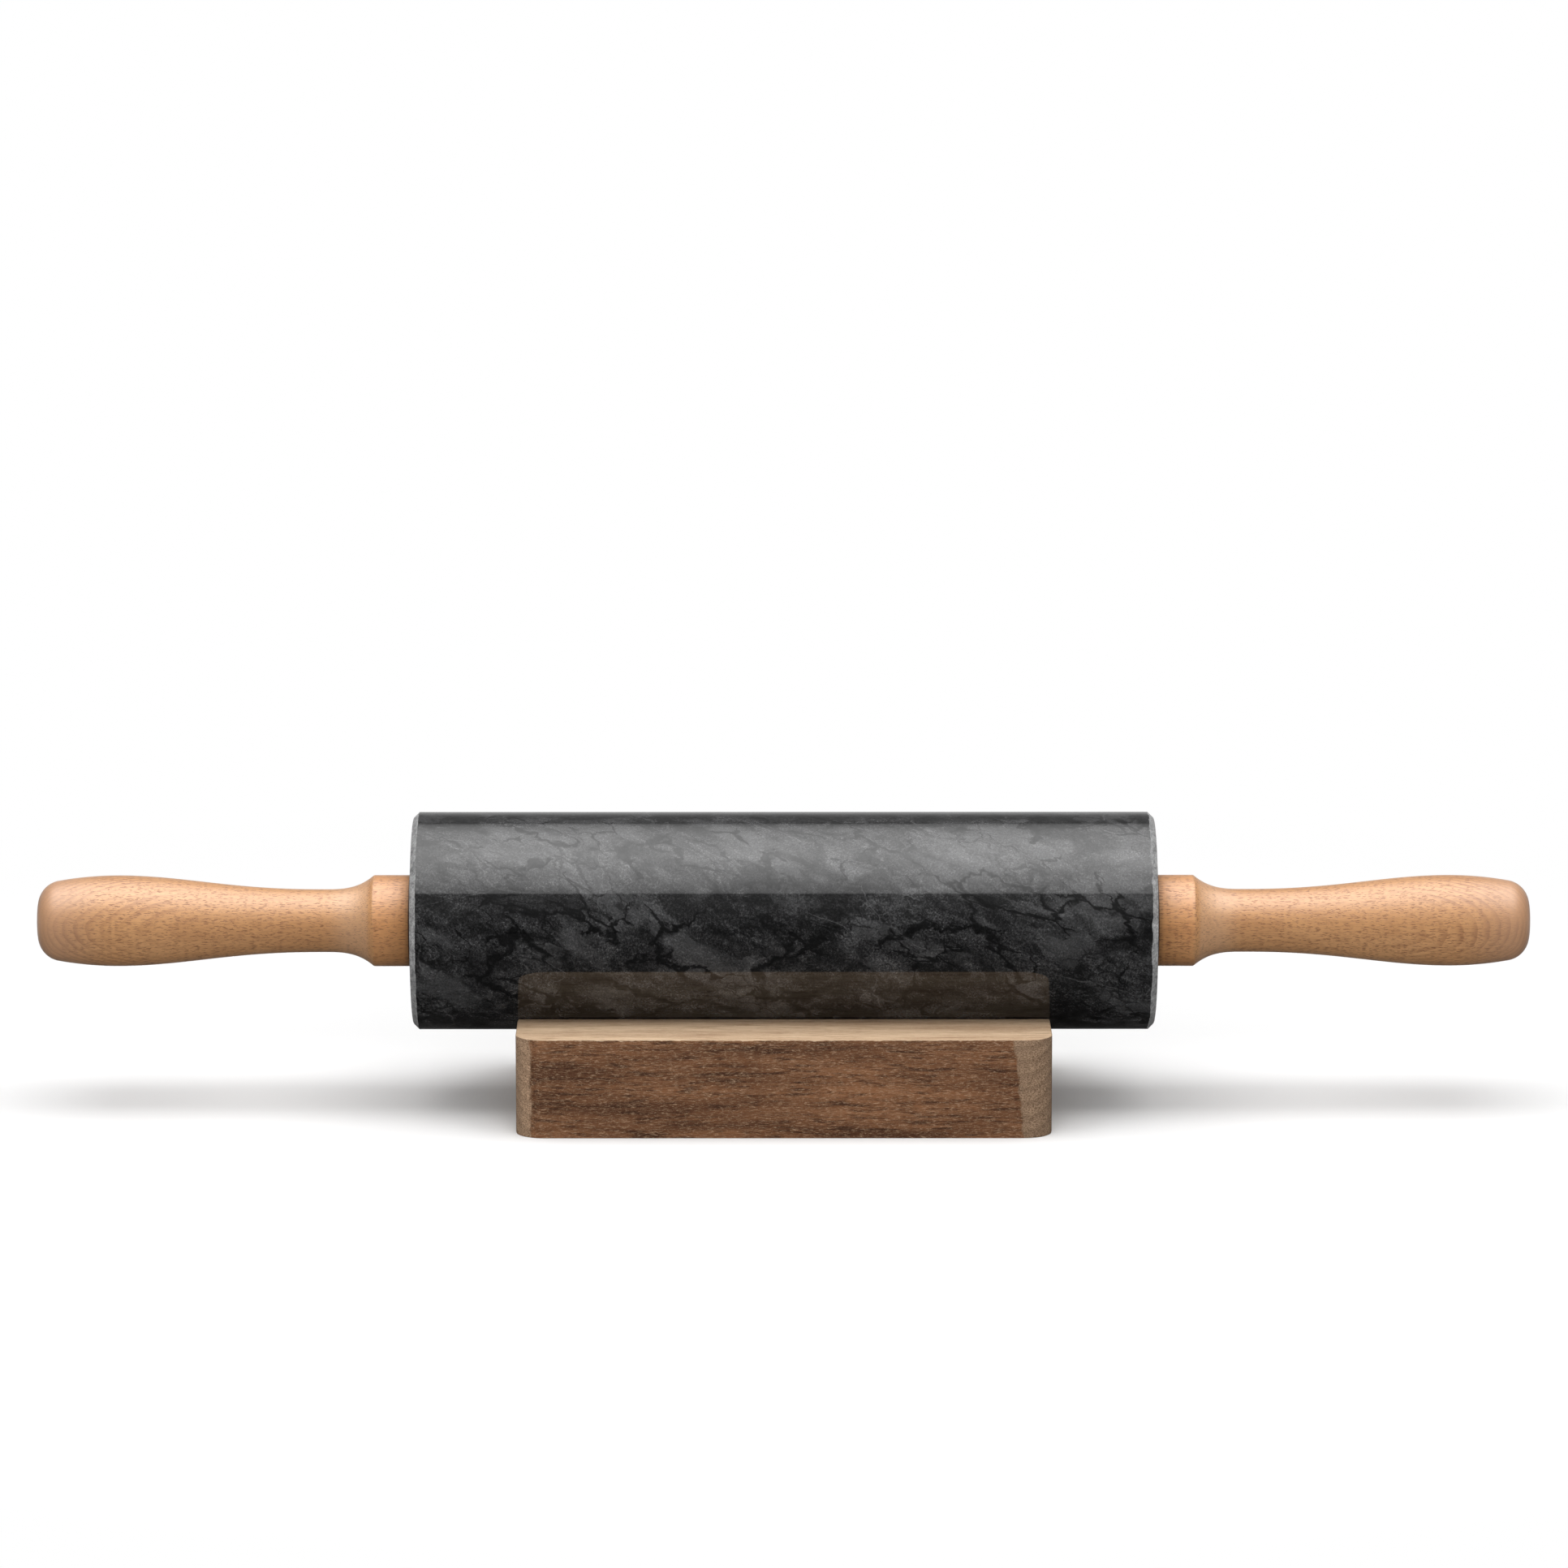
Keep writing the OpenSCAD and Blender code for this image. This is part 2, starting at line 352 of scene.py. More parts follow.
def marble_pattern(net):
    """Returns the stone's colour and how strongly each place shines."""
    long, slow, bent, torn = marble_places(net)
    flake = net.axis(net.cells(torn, FLAKES, output="Color"), "X")
    isles = net.noise(net.shift(slow, 0.3, 0.1, 0.2), 60, 3)
    here_fine = net.band(net.noise(net.shift(long, 0.6, 0.1, 0.4), 60, 3), 0.47, 0.66)
    body = marble_body(net, bent, torn, flake)
    dark = marble_dark(net, torn, flake, isles)
    patches = net.times(net.band(flake, 0.86, 0.90), net.band(isles, 0.40, 0.50))
    wisps = marble_wisps(net, bent, isles)
    hairs = cracks(net, net.shift(bent, 0.4, 0.2, 0.6), 30, 0.009, here_fine)
    veined = marble_veins(net, long, torn, here_fine)
    colour = net.ramp(
        body,
        (0.30, (0.0040, 0.0040, 0.0042)),
        (0.42, (0.0098, 0.0098, 0.0101)),
        (0.52, (0.0215, 0.0215, 0.0221)),
        (0.62, (0.0415, 0.0415, 0.0424)),
        (0.78, (0.1080, 0.1080, 0.1100)),
    )
    colour = net.mix(net.times(dark, 0.58), colour, (0.0040, 0.0040, 0.0041))
    colour = net.mix(net.times(patches, 0.22), colour, (0.085, 0.085, 0.087))
    colour = net.mix(net.times(wisps, 0.27), colour, (0.115, 0.115, 0.117))
    colour = net.mix(net.times(hairs, 0.3), colour, (0.14, 0.14, 0.142))
    colour = net.mix(net.times(veined, 0.92), colour, (0.0022, 0.0022, 0.0023))
    return marble_grain(net, colour), marble_shine(net, body, dark, veined)


def make_marble():
    net = surface("marble_polished")
    colour, shine = marble_pattern(net)
    net.steady(Specular_IOR_Level=0.75, Roughness=0.055)
    return net.finish(Base_Color=colour, Specular_Tint=shine)


def make_ground_marble(name, haze_share):
    """The stone where it is not polished: dull, and the paler the larger the share of haze."""
    net = surface(name)
    colour = marble_pattern(net)[0]
    haze = net.noise(net.place, 420, 6, 0.75)
    pale = net.ramp(haze, (0.34, (0.24, 0.242, 0.245)), (0.66, (0.60, 0.602, 0.605)))
    scratch = net.noise(net.place, 1500, 5, 0.8)
    worn = net.band(scratch, 0.38, 0.58, haze_share * 0.45, haze_share)
    net.steady(Specular_IOR_Level=0.4, Roughness=0.5)
    return net.finish(Base_Color=net.mix(worn, colour, pale), Normal=net.bump(scratch, 0.00012, 0.6))


# Beech

# Year rings of the handles lie flat in the pin and turn up towards each tip, where they show as nested arcs
RINGS_PER_M = 640
RING_RISE = 0.0175
# Where they begin and end to turn up, in metres from the tip
RISE_FROM = 0.092
RISE_TO = 0.0005
# Places along the handles, in metres from the pin's middle
COLLAR_FROM = (BARREL_LEN / 2 + COLLAR_GAP) * MM
COLLAR_TO = COLLAR_FROM + COLLAR_LEN * MM
TIP_AT = COLLAR_FROM + HANDLE_LEN * MM


def beech_rings(net, from_tip):
    """1 in the late wood of the year rings, and less in places and away from the tips."""
    bent = net.warp(net.stretch(net.place, 0.4, 1.0, 1.0), 75, 0.0030)
    along = net.band(from_tip, RISE_TO, RISE_FROM, 1.0, 0.0, smooth=False)
    rise = net.times(net.times(along, along), RING_RISE)
    depth = net.math("ADD", net.axis(bent, "Y"), rise)
    ring = net.math("FRACT", net.times(depth, RINGS_PER_M))
    late = net.times(net.band(ring, 0.35, 0.90), net.band(ring, 0.92, 1.0, 1.0, 0.0))
    uneven = net.band(net.noise(net.stretch(net.place, 0.4, 1, 1), 90, 3), 0.35, 0.65, 0.22, 0.92)
    return net.times(late, net.times(uneven, net.band(from_tip, 0.022, 0.052, 1.0, 0.18)))


def ray_dashes(net, vector, fine):
    """Short dark dashes along the grain: flat cells, long in X, of which some are left out."""
    stretched = net.stretch(vector, 300 * fine, 1300 * fine, 2100 * fine)
    distance = net.cells(stretched, 1.0)
    chance = net.axis(net.cells(stretched, 1.0, output="Color"), "X")
    dash = net.band(distance, 0.18, 0.42, 1.0, 0.0)
    return net.times(dash, net.band(chance, 0.20, 0.55))


def beech_dashes(net, from_tip):
    """Dashes of two sizes, which fade on the tips."""
    wavy = net.warp(net.warp(net.place, 240, 0.0009), 1400, 0.0005)
    long = ray_dashes(net, wavy, 1.15)
    short = ray_dashes(net, net.shift(wavy, 0.3, 0.2, 0.1), 1.6)
    return net.times(net.most(long, short), net.band(from_tip, 0.0015, 0.011, 0.25, 1.0))


def beech_zones(net, colour, out, from_tip):
    """A deeper collar with painted shade beside the marble, a dark line and band that stand for the shadow
    in the gap between them, a paler cove behind it and a pinker tip.
    """
    past_collar = net.math("SUBTRACT", out, COLLAR_TO)
    collar = net.band(past_collar, -0.0005, 0.0005, 0.52, 0.0)
    colour = net.mix(collar, colour, net.tint(colour, (1.13, 0.99, 0.83)))
    cove_start = net.band(past_collar, 0.001, 0.0025, 0.0, 0.3)
    cove = net.times(cove_start, net.band(past_collar, 0.007, 0.016, 1.0, 0.0))
    colour = net.mix(cove, colour, (0.66, 0.44, 0.29))
    colour = net.mix(net.band(from_tip, 0.002, 0.025, 0.6, 0.0), colour, (0.57, 0.322, 0.195))
    # Painted shade: a dark line and a softer dark band on the collar next to the marble, for the shadow in
    # the gap between them.
    past_face = net.math("SUBTRACT", out, COLLAR_FROM)
    line = net.band(past_face, 0.0005, 0.0010, 0.97, 0.0)
    gap_shade_band = net.band(past_face, 0.0004, 0.0026, 0.4, 0.0)
    return net.mix(net.most(line, gap_shade_band), colour, (0.030, 0.013, 0.006))


def make_beech():
    net = surface("beech_satin")
    out = net.math("ABSOLUTE", net.axis(net.place, "X"))
    from_tip = net.math("SUBTRACT", TIP_AT, out)
    soft = net.noise(net.stretch(net.place, 0.3, 1, 1), 70, 5, 0.6)
    fibre = net.noise(net.stretch(net.place, 0.10, 1, 1), 2200, 5, 0.7)
    dashes = beech_dashes(net, from_tip)
    colour = net.ramp(soft, (0.28, (0.590, 0.287, 0.110)), (0.72, (0.725, 0.381, 0.160)))
    colour = net.mix(beech_rings(net, from_tip), colour, (0.37, 0.155, 0.058))
    colour = net.mix(net.band(fibre, 0.42, 0.66, 0.0, 0.42), colour, (0.38, 0.170, 0.070))
    colour = net.mix(net.times(dashes, 0.84), colour, (0.26, 0.096, 0.032))
    colour = beech_zones(net, colour, out, from_tip)
    height = net.math("SUBTRACT", net.times(fibre, 0.25), dashes)
    roughness = net.band(dashes, 0, 1, 0.40, 0.6)
    net.steady(Specular_IOR_Level=0.8, Coat_Weight=0.6, Coat_Roughness=0.28)
    return net.finish(Base_Color=colour, Roughness=roughness, Normal=net.bump(height, 0.00006, 0.6))


# Acacia

# Width in millimetres of the paler end wood on the block's sides, partly real end wood on the rounded
# corners and partly painted light on them, how far its edge frays, and how much the right edge leans
PALE_LEFT = 4.6
PALE_RIGHT = 8.7
PALE_FRAY = 0.5
PALE_LEAN = 0.10
END_RINGS_PER_M = 260
# The middle of the block's year rings, in metres
PITH = (0.0, 0.02, -0.09)
# How much lighter the end wood is at the left than at the right: painted light at the left and painted
# shade at the right, as if lit from the left
LEFT_END_LIGHT = 1.27
RIGHT_END_SHADE = 0.93

# One acacia in lit and shaded copies: the sides darker as painted shade, the rims and groove lighter as
# painted light from above, and the back rim lighter still as painted light.
ACACIA_LOOKS = {
    "acacia": {
        "name": "acacia_side_shaded",
        "dark": (0.096, 0.038, 0.016),
        "light": (0.270, 0.120, 0.054),
        "streak": (0.038, 0.014, 0.006),
        "fleck": (0.62, 0.41, 0.255),
        "streak_share": 0.78,
        "fleck_share": 0.86,
        "depth": 0.0003,
        "with_ends": True,
    },
    "acacia_rim_lit": {
        "name": "acacia_rim_lit",
        "dark": (0.44, 0.285, 0.175),
        "light": (0.670, 0.490, 0.320),
        "streak": (0.30, 0.170, 0.093),
        "fleck": (0.80, 0.63, 0.455),
        "streak_share": 0.62,
        "fleck_share": 0.62,
    },
    "acacia_back_rim_lit": {
        "name": "acacia_back_rim_lit",
        "dark": (0.56, 0.385, 0.246),
        "light": (0.790, 0.600, 0.403),
        "streak": (0.40, 0.240, 0.138),
        "fleck": (0.88, 0.71, 0.52),
        "streak_share": 0.55,
        "fleck_share": 0.62,
    },
    "acacia_groove_lit": {
        "name": "acacia_groove_lit",
        "dark": (0.385, 0.220, 0.121),
        "light": (0.585, 0.383, 0.224),
        "streak": (0.165, 0.075, 0.036),
        "fleck": (0.74, 0.53, 0.34),
        "streak_share": 0.64,
        "fleck_share": 0.55,
    },
}


def pale_ends_and_corner_light(net):
    """1 where the end wood shows on the sides of the block, with a frayed edge that leans at the right; the
    pale strips are partly painted light on the rounded corners.
    """
    torn = net.warp(net.place, 330, 0.0030, 5)
    x = net.axis(torn, "X")
    leaning = net.math("MULTIPLY_ADD", net.axis(torn, "Z"), PALE_LEAN, x)
    fray = PALE_FRAY * MM
    left_at = (PALE_LEFT - CRADLE_LEN / 2) * MM
    right_at = (CRADLE_LEN / 2 - PALE_RIGHT) * MM
    left = net.band(x, left_at - fray, left_at + fray, 1.0, 0.0)
    return net.most(left, net.band(leaning, right_at - fray, right_at + fray))


def end_grain(net):
    """Colour and mottling of acacia cut across: curved year rings and pores in grey brown."""
    bent = net.warp(net.place, 40, 0.004)
    from_pith = net.vector("SUBTRACT", net.stretch(bent, 0.0, 1.0, 1.0), PITH)
    ring = net.math("FRACT", net.times(net.vector("LENGTH", from_pith), END_RINGS_PER_M))
    late = net.times(net.band(ring, 0.3, 0.9), net.band(ring, 0.93, 1.0, 1.0, 0.0))
    mottle = net.noise(net.stretch(net.place, 1, 1, 1.6), 1900, 5, 0.8)
    pores = net.cells(net.stretch(net.place, 0.2, 1, 1), 900)
    colour = net.ramp(mottle, (0.38, (0.13, 0.074, 0.042)), (0.62, (0.52, 0.352, 0.225)))
    colour = net.mix(net.times(late, 0.25), colour, (0.10, 0.055, 0.032))
    colour = net.mix(net.band(pores, 0.10, 0.25, 0.35, 0), colour, (0.05, 0.028, 0.017))
    # Painted light and shade: the end wood is lighter at the left and darker at the right.
    side_light = net.band(net.axis(net.place, "X"), -0.01, 0.01, LEFT_END_LIGHT, RIGHT_END_SHADE)
    return net.vector("MULTIPLY", colour, side_light), mottle


def make_end_grain():
    net = surface("acacia_end_grain")
    colour, mottle = end_grain(net)
    net.steady(Specular_IOR_Level=0.2, Roughness=0.8)
    return net.finish(Base_Color=colour, Normal=net.bump(mottle, 0.0002, 0.6))


def threads(net, vector, along, across, detail, roughness):
    """Noise in long threads along X; along and across are the scales in each direction."""
    return net.noise(net.stretch(vector, along, across, across), 1.0, detail, roughness)


def make_acacia(name, dark, light, streak, fleck, streak_share, fleck_share,
                depth=0.00018, with_ends=False):
    """Planed acacia: wide bands from dark to light, with dark streaks and short pale flecks."""
    net = surface(name)
    bent = net.warp(net.place, 18, 0.006)
    wide = threads(net, bent, 10, 120, 6, 0.65)
    coarse = threads(net, net.shift(bent, 0.5, 0.1, 0.3), 75, 1000, 4, 0.7)
    fine = threads(net, net.shift(bent, 0.2, 0.4, 0.6), 160, 2600, 3, 0.7)
    jitter = net.warp(net.place, 260, 0.0011)
    spark = threads(net, net.shift(jitter, 0.9, 0.7, 0.2), 560, 3200, 5, 0.8)
    colour = net.ramp(wide, (0.38, dark), (0.62, light))
    colour = net.mix(net.band(coarse, 0.50, 0.62, 0, streak_share), colour, streak)
    colour = net.mix(net.band(fine, 0.50, 0.66, 0, streak_share * 0.7), colour, streak)
    colour = net.mix(net.band(spark, 0.48, 0.74, 0, fleck_share), colour, fleck)
    if with_ends:
        colour = net.mix(pale_ends_and_corner_light(net), colour, end_grain(net)[0])
    height = net.blend((coarse, -0.6), (fine, -0.5), (spark, 0.6))
    net.steady(Specular_IOR_Level=0.25, Roughness=0.72)
    return net.finish(Base_Color=colour, Normal=net.bump(height, depth, 0.7))


# Hardware

def make_metal(name, dark, light, roughness):
    net = surface(name)
    turned = net.noise(net.stretch(net.place, 1.0, 0.1, 0.1), 4000, 4, 0.6)
    colour = net.ramp(turned, (0.3, dark), (0.7, light))
    dull = net.band(turned, 0.3, 0.7, roughness, roughness + 0.12)
    net.steady(Metallic=1.0)
    return net.finish(Base_Color=colour, Roughness=dull, Normal=net.bump(turned, 0.00003, 0.5))


def make_plastic(name, dark, light, roughness):
    net = surface(name)
    grain = net.noise(net.place, 2600, 4, 0.6)
    colour = net.ramp(grain, (0.3, dark), (0.7, light))
    net.steady(Roughness=roughness)
    return net.finish(Base_Color=colour, Normal=net.bump(grain, 0.00005, 0.5))


# Meshes

SHARP_ANGLE = math.radians(32)


def new_piece(name, verts, faces, slots, materials, body, node):
    """A mesh object in the shared frame, given in millimetres, that stands for a node of the model."""
    mesh = bpy.data.meshes.new(name)
    mesh.from_pydata([Vector(v) * MM for v in verts], [], faces)
    for material in materials:
        mesh.materials.append(material)
    for polygon, index in zip(mesh.polygons, slots):
        polygon.material_index = index
    bm = bmesh.new()
    bm.from_mesh(mesh)
    bmesh.ops.recalc_face_normals(bm, faces=bm.faces)
    bm.to_mesh(mesh)
    bm.free()
    mesh.shade_smooth()
    mesh.set_sharp_from_angle(angle=SHARP_ANGLE)
    piece = bpy.data.objects.new(name, mesh)
    bpy.context.scene.collection.objects.link(piece)
    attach(piece, body)
    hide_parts(node)


def turn_ring(x, r, steps, first, slide):
    """A ring of points round the pin's axis, one point where r is 0, and the index of each step's point."""
    if r == 0:
        return [(x, 0, AXIS_Z)], [first] * steps
    points = []
    for k in range(steps):
        angle = math.tau * k / steps
        points.append((x + slide(angle), r * math.sin(angle), AXIS_Z + r * math.cos(angle)))
    return points, list(range(first, first + steps))


def turn_profile(profile, steps, slot_of, slide=lambda i, angle: 0):
    """Turns (x, r) points round the pin's axis. The profile is a loop, or ends on the axis with r = 0."""
    verts, faces, slots, rings = [], [], [], []
    for i, (x, r) in enumerate(profile):
        points, ring = turn_ring(x, r, steps, len(verts), lambda angle: slide(i, angle))
        verts += points
        rings.append(ring)
    closed = profile[0][1] > 0
    for i in range(len(profile) if closed else len(profile) - 1):
        ring, after = rings[i], rings[(i + 1) % len(profile)]
        for k in range(steps):
            m = (k + 1) % steps
            face = [ring[k], ring[m], after[m], after[k]]
            faces.append(list(dict.fromkeys(face)))
            slots.append(slot_of(i))
    return verts, faces, slots


def steps_between(start, end, count):
    return [start + (end - start) * i / count for i in range(count)]


# The barrel

BARREL_STEPS = 720
POLISHED, GROUND, HONED = range(3)
END_RIM_R = BARREL_R - BARREL_BEVEL
# The bevel turns into the end face over a small facet
FACET = 0.12
FACET_DROP = 0.1
# (distance from the end face, radius) of one end, from the polished face into the bore
BARREL_END = [
    (BARREL_BEVEL, BARREL_R),
    (FACET, END_RIM_R + FACET),
    (0, END_RIM_R - FACET_DROP),
    (0, FLANGE_R),
    (FLANGE_T, FLANGE_R),
    (FLANGE_T, BUSH_R),
]
# The loop runs from the right bevel through the bore to the left bevel and back along the polished face
RIGHT_END = [(BARREL_LEN / 2 - at, r) for at, r in BARREL_END]
BARREL_PROFILE = RIGHT_END + [(-x, r) for x, r in reversed(RIGHT_END)]
LAST = len(BARREL_PROFILE) - 1
# Surfaces by the point where each begins; all others are honed
BARREL_SURFACES = {0: GROUND, 1: GROUND, LAST - 2: GROUND, LAST - 1: GROUND, LAST: POLISHED}
# Points where a bevel meets the polished face, with its side and how far its chips reach
BEVEL_EDGES = {0: (RIGHT, 0.55), LAST: (LEFT, 0.20)}
# Scale of the chips round the barrel, and how much of its edge they cover
CHIP_SCALE = 6
CHIP_SHARE = 0.35
# Share of pale haze on the ground bevels and on the honed end faces
BEVEL_HAZE = 0.98
END_HAZE = 0.18


def chipped_bevel(i, angle):
    """How far the ground bevel bites into the polished face."""
    if i not in BEVEL_EDGES:
        return 0
    side, reach = BEVEL_EDGES[i]
    spot = Vector((side * CHIP_SCALE / 2, CHIP_SCALE * math.sin(angle), CHIP_SCALE * math.cos(angle)))
    return -side * reach * max(0, noise.fractal(spot, 1.0, 2.2, 6) + CHIP_SHARE)


def barrel_surface(i):
    return BARREL_SURFACES.get(i, HONED)


def make_barrel():
    verts, faces, slots = turn_profile(BARREL_PROFILE, BARREL_STEPS, barrel_surface, chipped_bevel)
    ground = make_ground_marble("marble_ground", BEVEL_HAZE)
    honed = make_ground_marble("marble_honed", END_HAZE)
    surfaces = [MATERIALS["marble"], ground, honed]
    new_piece("barrel_stone", verts, faces, slots, surfaces, "barrel", "marble_barrel")


# The handles

HANDLE_STEPS = 192
COLLAR_BEVEL_MID = 0.3 * COLLAR_BEVEL
# The stepped bore for the insert, the lock nut and the washer, measured from the barrel's end face
HANDLE_BORE = [
    (DRILL_TO, 0), (DRILL_TO, ROD_R), (INSERT_TO, ROD_R), (INSERT_TO, INSERT_R),
    (POCKET_TO, INSERT_R), (POCKET_TO, POCKET_R), (RECESS_TO, POCKET_R), (RECESS_TO, RECESS_R),
    (COLLAR_GAP, RECESS_R),
]


def cove(at):
    return WAIST_R + (COVE_R - WAIST_R) * ((WAIST_AT - at) / (WAIST_AT - COVE_FROM)) ** 3


def swell(at):
    share = ((at - WAIST_AT) / (BELLY_AT - WAIST_AT)) ** SWELL_LEAN
    return WAIST_R + (BELLY_R - WAIST_R) * (1 - math.cos(math.pi * share)) / 2


def collar_outline():
    points = [(0, COLLAR_R - COLLAR_BEVEL), (COLLAR_BEVEL_MID, COLLAR_R - COLLAR_BEVEL_MID),
              (COLLAR_BEVEL, COLLAR_R)]
    return points + [(COLLAR_LEN + COLLAR_ROUND * math.sin(t), COLLAR_R - COLLAR_ROUND * (1 - math.cos(t)))
                     for t in steps_between(0, COLLAR_TURN, 10)]


def tip_outline():
    """The belly's long curve, the round of the tip and its flat crown."""
    round_at = HANDLE_LEN - TIP_ROUND - TIP_CROWN
    belly_turn = math.asin((round_at - BELLY_AT) / (BELLY_CURVE_R - TIP_ROUND))
    round_r = BELLY_R - BELLY_CURVE_R + (BELLY_CURVE_R - TIP_ROUND) * math.cos(belly_turn)
    crown_reach = TIP_ROUND + TIP_CROWN
    crown_r = (crown_reach ** 2 + round_r ** 2 - TIP_ROUND ** 2) / (2 * TIP_CROWN)
    crown_turn = math.asin(round_r / (crown_r - TIP_ROUND))
    points = [(BELLY_AT + BELLY_CURVE_R * math.sin(t), BELLY_R - BELLY_CURVE_R * (1 - math.cos(t)))
              for t in steps_between(0, belly_turn, 30)]
    points += [(round_at + TIP_ROUND * math.sin(t), round_r + TIP_ROUND * math.cos(t))
               for t in steps_between(belly_turn, math.pi / 2 - crown_turn, 30)]
    points += [(HANDLE_LEN - crown_r * (1 - math.cos(t)), crown_r * math.sin(t))
               for t in steps_between(crown_turn, 0, 8)]
    return points + [(HANDLE_LEN, 0)]


def handle_outline():
    """(distance from the collar's face, radius) from the collar's rim to the tip."""
    points = collar_outline()
    points += [(at, cove(at)) for at in steps_between(COVE_FROM, WAIST_AT, 40)]
    points += [(at, swell(at)) for at in steps_between(WAIST_AT, BELLY_AT, 90)]
    return points + tip_outline()


def make_handle(name, node, side):
    profile = HANDLE_BORE + [(COLLAR_GAP + at, r) for at, r in handle_outline()]
    profile = [(side * (BARREL_LEN / 2 + x), r) for x, r in profile]
    verts, faces, slots = turn_profile(profile, HANDLE_STEPS, lambda i: 0)
    new_piece(name, verts, faces, slots, [MATERIALS["beech"]], "handles", node)


# The cradle

RIM, BACK_RIM, GROOVE, SIDE, END = range(5)
ARC_STEPS = 40
ROUND_STEPS = 3
FACE_ROWS = 6
RIM_ROWS = 6
STATION_GAP = 0.5
CORNER_STATIONS = 16
END_INSET = 0.4
FOOT_ROUND = 0.35
# The groove's arc stops this far before its rounded lip
LIP = 0.6
# The sanded edges along the block: a number that sets their noise apart, least radius, splinters' depth
FRONT_EDGE = (1.0, 0.13, 0.55)
GROOVE_FRONT_EDGE = (2.0, 0.12, 0.3)
GROOVE_BACK_EDGE = (3.0, 0.12, 0.3)
BACK_EDGE = (4.0, 0.15, 0.3)


def corner_inset(out, radius):
    """How far a rounded corner in plan lies inside the straight face, out mm before the end."""
    if out >= radius:
        return 0.0
    return radius - math.sqrt(max(0.0, radius ** 2 - (radius - out) ** 2))


def unevenness(x, seed, lane):
    return noise.fractal(Vector((x, seed, lane)), 0.6, 2.0, 4)


def edge_r(x, seed, base, chip):
    """Radius of a sanded edge at x, with a torn splinter now and then."""
    fine = unevenness(x * 1.4, seed, 0.5)
    torn = unevenness(x * 0.25, seed, 7.5)
    return base + chip * (0.4 * max(0, fine) + max(0, torn - 0.3))


def rounded(corner, first, second, radius):
    """Points of a rounding at a corner, from the direction first to the direction second."""
    points = []
    for i in range(ROUND_STEPS + 1):
        t = i / ROUND_STEPS
        a, b = (1 - t) ** 2, t ** 2
        points.append((
            corner[0] + radius * (first[0] * a + second[0] * b),
            corner[1] + radius * (first[1] * a + second[1] * b),
        ))
    return points


def joining(before, after, count):
    """The points between the end of one run and the start of the next."""
    start, end = before[-1], after[0]
    return [(start[0] + (end[0] - start[0]) * i / count, start[1] + (end[1] - start[1]) * i / count)
            for i in range(1, count)]


def groove_arc(half, top):
    radius = math.hypot(half, AXIS_Z - top)
    arc_to = math.asin((half - LIP) / radius)
    turns = steps_between(-arc_to, arc_to, ARC_STEPS) + [arc_to]
    return [(radius * math.sin(t), AXIS_Z - radius * math.cos(t)) for t in turns]


def cradle_section(x, inset):
    """The cradle's outline across the pin at x, as (y, z, material) points, starting at the front foot."""
    out = CRADLE_LEN / 2 - abs(x)
    front = -CRADLE_DEPTH / 2 + corner_inset(out, FRONT_CORNER_R) + inset
    back = CRADLE_DEPTH / 2 - corner_inset(out, BACK_CORNER_R) - inset
    top = CRADLE_H - inset
    half = GROOVE_W / 2 + inset
    slope = math.atan2(half, AXIS_Z - top)
    wall = (math.cos(slope), -math.sin(slope))
    front_edge = rounded((front, top), (0, -1), (1, 0), edge_r(x, *FRONT_EDGE))
    groove_front = rounded((-half, top), (-1, 0), wall, edge_r(x, *GROOVE_FRONT_EDGE))
    groove_back = rounded((half, top), (-wall[0], wall[1]), (1, 0), edge_r(x, *GROOVE_BACK_EDGE))
    back_edge = rounded((back, top), (-1, 0), (0, -1), edge_r(x, *BACK_EDGE))
    back_foot = rounded((back, inset), (0, 1), (-1, 0), FOOT_ROUND)
    front_foot = rounded((front, inset), (1, 0), (0, 1), FOOT_ROUND)
    runs = [
        (front_foot, SIDE), (joining(front_foot, front_edge, FACE_ROWS), SIDE),
        (front_edge, RIM), (joining(front_edge, groove_front, RIM_ROWS), RIM),
        (groove_front, GROOVE), (groove_arc(half, top), GROOVE),
        (groove_back, BACK_RIM), (joining(groove_back, back_edge, RIM_ROWS), BACK_RIM),
        (back_edge, SIDE), (joining(back_edge, back_foot, FACE_ROWS), SIDE),
        (back_foot, SIDE), (joining(back_foot, front_foot, FACE_ROWS), SIDE),
    ]
    return [(y, z, slot) for run, slot in runs for y, z in run]


def cradle_stations():
    """(x, inset) pairs along the cradle, close together in its rounded corners."""
    half = CRADLE_LEN / 2
    inner = half - FRONT_CORNER_R
    count = round(2 * inner / STATION_GAP)
    middle = [(-inner + 2 * inner * i / count, 0.0) for i in range(count + 1)]
    corner = []
    for i in range(1, CORNER_STATIONS):
        x = half - FRONT_CORNER_R * (1 - math.sin(math.pi / 2 * i / CORNER_STATIONS))
        corner.append((x, END_INSET * max(0, 1 - (half - x) / END_INSET) ** 2))
    corner.append((half, END_INSET))
    return [(-x, inset) for x, inset in reversed(corner)] + middle + corner


